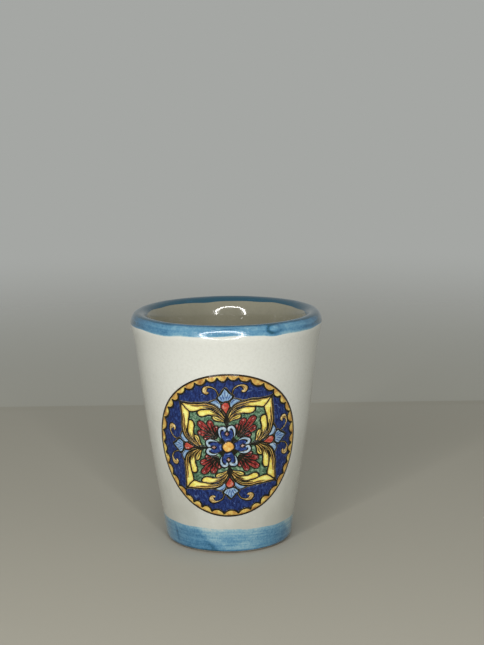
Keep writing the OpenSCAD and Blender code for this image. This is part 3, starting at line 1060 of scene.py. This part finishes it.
def paint_border():
    """The dark ring, the cobalt ground, and the gold lobes with their brush line."""
    patch(ring, circle(rosette_r + 0.08), 0.04, 0.01, grid=0.9, reach=0.4, free=True)
    patch(ground, circle(cusp_r), 0.05, 0.01, grid=0.8, free=True)
    count = BORDER_LOBES * LOBE_POINTS
    inner = circle(1, count) * lobed_radius(np.arange(count) * math.tau / count)[:, None]
    band(gold_border, inner, circle(rosette_r - RING_WIDTH, count), 0.09, 0.05)

    def line_width(t):
        return 0.5 + 0.3 * abs(lobe_phase(t * math.tau)[0]) ** 3

    stroke(black, inner, line_width, 0.08, 0.04, step=0.1, closed=True, free=True)


def paint_flecks():
    """Thin lighter brush flecks that follow the border round the cobalt ground."""
    dice = np.random.default_rng(7)
    for _ in range(FLECKS):
        radius, angle = dice.uniform(11.5, 17.0), dice.uniform(0, 360)
        length, lean = dice.uniform(0.4, 1.5), dice.uniform(-50, 50)
        width = dice.uniform(0.06, 0.15)
        line = turned(bezier((-length / 2, 0), (-0.1, 0.12), (0.1, 0.12), (length / 2, 0), 6), lean)
        stroke(flecks, turned(line + (0, radius), angle - 90), taper(width), 0.045, 0.012)


def paint_scrolls():
    """Eight gold scrolls with dark edges and a dark line inside the bulb."""
    def draw(place):
        inside = between(SCROLL, SCROLL + (-0.15, -0.15), 0.5, 0.55, 0.9)
        stroke(black, place(SCROLL), lambda t: scroll_width(t) + 0.5, 0.06, 0.03)
        stroke(scrolls, place(SCROLL), scroll_width, 0.09, 0.05)
        stroke(black, place(inside), taper(0.16), 0.13, 0.02)
    mirrored_quarters(draw)


def paint_leaves():
    """The green field, and on its corners the yellow leaves of three tongues each."""
    corner = join(LEAF_INSIDE, LEAF_INSIDE[::-1, ::-1])
    patch(field, np.vstack([turned(corner, -90 * k) for k in range(4)]), 0.065, 0.008, grid=0.5)

    def leaf(place):
        for shape in TONGUES:
            patch(leaves, place(shape), 0.1, 0.04, grid=0.22, reach=0.9)
        stroke(olive, place(LEAF_TOP + (-0.08, 0.3)), taper(0.2, 0.5, 0.5, 0.5), 0.06, 0.02)
        for layer, lines, ends, top, thick in ((ochre, SHADING, (0.4, 0.2, 0.35), 0.115, 0.03),
                                               (black, HATCHING, (0.3, 0.3, 0.5), 0.14, 0.06)):
            for tongue, share, start, stop, width in lines:
                line = between(*TONGUE_SIDES[tongue], share, start, stop)
                stroke(layer, place(line), taper(width, *ends), top, thick)
        for line, width, top, thick in LEAF_LINES:
            stroke(black, place(line), width, top, thick)

    def cusp_and_tip(place):
        stroke(black, place(LEAF_TIP), taper(0.42, 0.7, 0.9), 0.125, 0.05)
        patch(black, place(CUSP), 0.15, grid=0.2)

    mirrored_quarters(leaf)
    quarters(cusp_and_tip)


def paint_palmettes():
    """Four dark red palmettes of five lobes, each lobe with a vein and a pink painted highlight at its
    tip.
    """
    def draw(place):
        for tip, width in PALMETTE:
            tip = np.array(tip)
            shape = place(lobe_outline(PALMETTE_ROOT, tip, width))
            vein = PALMETTE_ROOT + np.linspace(0.12, 0.8, 8)[:, None] * (tip - PALMETTE_ROOT)
            patch(palmettes, shape, 0.1, 0.04, grid=0.2, reach=0.6)
            stroke(black, shape, lambda t: 0.08 + 0.28 * math.sin(math.pi * t), 0.11, 0.05, closed=True)
            stroke(black, place(vein), taper(0.5, 0.9, 0.2, 0.3), 0.13, 0.05)
            # A painted highlight: a pale pink glint on each lobe's tip.
            stroke(marks_and_glints, place([tip * 0.95, tip * 0.9]), taper(0.26, 0.5, 0.5), 0.15, 0.02)
        for tick in TICKS:
            stroke(black, place(tick), taper(0.16), 0.075, 0.015)
    quarters(draw)


def paint_flower():
    """The middle flower: four blue petals with pale curls and pink marks, and a yellow boss."""
    def petal(place):
        patch(petals, place(PETAL), 0.085, 0.03, grid=0.22)
        stroke(black, place(PETAL), steady(0.46), 0.095, 0.04, closed=True)
        stroke(black, place([(0, 5.3), (0, 4.7), (0, 3.9)]), taper(0.6, 0.9, 0.4, 0.3), 0.11, 0.03)
        stroke(black, place([(0, 2.8), (0, 3.5), (0, 4.3)]), taper(1.25, 0.4, 0.6, 0.5), 0.1, 0.02)
        stroke(flecks, place(PETAL_BASE), taper(0.24), 0.115, 0.015)
        stroke(marks_and_glints, place([(0.05, 3.1), (-0.05, 3.85)]), taper(0.36, 0.4, 0.6, 0.6), 0.13, 0.03)
        stroke(marks_and_glints, place([(-0.45, 3.5), (0, 3.3), (0.45, 3.5)]), taper(0.14, 0.5, 0.5), 0.13, 0.02)

    def curl(place):
        stroke(black, place(CURL), taper(1.4, 0.4, 0.8, 0.75), 0.105, 0.05)
        stroke(curls, place(CURL), taper(0.68, 0.12, 0.8, 0.85), 0.14, 0.07)

    quarters(petal)
    mirrored_quarters(curl)
    patch(black, circle(2.8, 48), 0.074, 0.005, grid=0.4)
    patch(black, circle(1.72, 48), 0.13, 0.02, grid=0.3)
    patch(boss, circle(1.34, 48), 0.17, 0.07, grid=0.25, reach=1.0)


def paint_buds():
    """Four pale buds, each with a red berry below it, with a painted pink highlight on its left, and a
    veined leaflet on both sides.
    """
    def bud(place):
        stroke(olive, place(BUD), steady(0.62), 0.055, 0.02, closed=True)
        patch(buds, place(BUD), 0.08, 0.04, grid=0.25)
        stroke(black, place(BUD), steady(0.42), 0.09, 0.04, closed=True)
        patch(berries, place(BERRY), 0.12, 0.05, grid=0.2, reach=0.8)
        stroke(black, place(BERRY), steady(0.4), 0.12, 0.04, closed=True)
        # A painted highlight: a pink streak on the berry's left side.
        stroke(marks_and_glints, place([(-0.45, 10.0), (-0.5, 10.6), (-0.3, 11.1)]), taper(0.24), 0.16, 0.02)
        stroke(veins, place([(0, 12.3), (0.04, 13.6), (0, 14.7)]), taper(0.22), 0.11, 0.015)

    def side(place):
        stroke(olive, place(LEAFLET), steady(0.54), 0.055, 0.02, closed=True)
        patch(leaflets, place(LEAFLET), 0.075, 0.04, grid=0.22)
        stroke(black, place(LEAFLET), steady(0.24), 0.085, 0.04, closed=True)
        for line, width, top in VEINS:
            stroke(veins, place(line), taper(width), top, 0.015)

    mirrored_quarters(side)
    quarters(bud)


paint_border()
paint_flecks()
paint_scrolls()
paint_leaves()
paint_palmettes()
paint_flower()
paint_buds()
for layer in LAYERS:
    layer.build()


# -------- the stage

def stage_paint(colour, fade_from=0.1, fade_to=0.62):
    """A plain pale sheet that fades into the room's light away from the cup. Distances in metres."""
    p = Paint(roughness=0.75, coat=0.0)
    soft = p.noise(p.solid(0.004), detail=2)
    p.colour(p.tint(colour, (0, 0, 0), soft, (0.3, 0), (0.7, 0.03)))
    away = p.node("VectorMath", {0: p.node("TexCoord").outputs["Object"]}, operation="LENGTH")
    fade = p.node("MapRange", {"Value": away.outputs["Value"], "From Min": fade_from, "From Max": fade_to},
                  interpolation_type="SMOOTHSTEP")
    clear = p.node("BsdfTransparent").outputs["BSDF"]
    both = p.node("MixShader", {0: fade.outputs["Result"], 1: p.surface.outputs["BSDF"], 2: clear})
    p.feed(both.outputs["Shader"], p.out.inputs["Surface"])
    return p.material


def stage_sheet(name, near, far, z, colour):
    """A flat sheet of the stage, between two distances behind the cup, in metres."""
    mesh = bpy.data.meshes.new(name)
    mesh.from_pydata([(-3, near, z), (3, near, z), (3, far, z), (-3, far, z)], [], [(0, 1, 2, 3)])
    mesh.materials.append(stage_paint(colour))
    placed(name, mesh)


# The far floor starts a little lower, which shows as a faint line behind the cup.
seam_y = 0.144
stage_sheet("floor", -3, seam_y, 0.0, (170, 166, 154))
stage_sheet("far_floor", seam_y, 6, -0.0015, (180, 178, 168))


def ring_light(centre, aim, radius, count, power):
    """Lamps in a circle that face the cup, as a ring light does, a little stronger on the left."""
    facing = (aim - centre).to_track_quat("-Z", "Y")
    for k in range(count):
        angle = math.tau * k / count
        lamp = bpy.data.lights.new("ring_lamp", "AREA")
        lamp.shape = "RECTANGLE"
        lamp.size = math.tau * radius / count * 1.04
        lamp.size_y = 0.02
        lamp.energy = power * (1 - 0.05 * math.cos(angle)) / count
        lamp.color = (1.0, 0.99, 0.965)
        held = placed("ring_lamp", lamp)
        held.location = centre + facing @ Vector((radius * math.cos(angle), radius * math.sin(angle), 0))
        held.rotation_mode = "QUATERNION"
        held.rotation_quaternion = facing @ Matrix.Rotation(angle + math.pi / 2, 3, "Z").to_quaternion()


camera_at = Vector((0.0, -0.3429, 0.1188))
camera_yaw, camera_pitch, camera_roll = 0.0117, 0.1793, 0.0109
ring_light(camera_at - Vector((0.04, 0, 0)), Vector((0, 0, cup_h / 2 * MM)), 0.15, 36, 2.0)

world = bpy.data.worlds.new("soft_room")
world.use_nodes = True
world.node_tree.nodes["Background"].inputs["Color"].default_value = rgb(165, 167, 164)
world.node_tree.nodes["Background"].inputs["Strength"].default_value = 1.0
bpy.context.scene.world = world
bpy.context.scene.view_settings.view_transform = "Standard"

camera = placed("camera", bpy.data.cameras.new("camera"))
camera.data.lens = 75.35
camera.data.sensor_width = 36
camera.data.clip_start, camera.data.clip_end = 0.01, 50
camera.location = camera_at
level = math.cos(camera_pitch)
look = Vector((math.sin(camera_yaw) * level, math.cos(camera_yaw) * level, -math.sin(camera_pitch)))
right = look.cross(Vector((0, 0, 1))).normalized()
up = right.cross(look)
tilted_right = right * math.cos(camera_roll) - up * math.sin(camera_roll)
tilted_up = right * math.sin(camera_roll) + up * math.cos(camera_roll)
camera.rotation_mode = "QUATERNION"
camera.rotation_quaternion = Matrix((tilted_right, tilted_up, -look)).transposed().to_quaternion()
bpy.context.scene.camera = camera
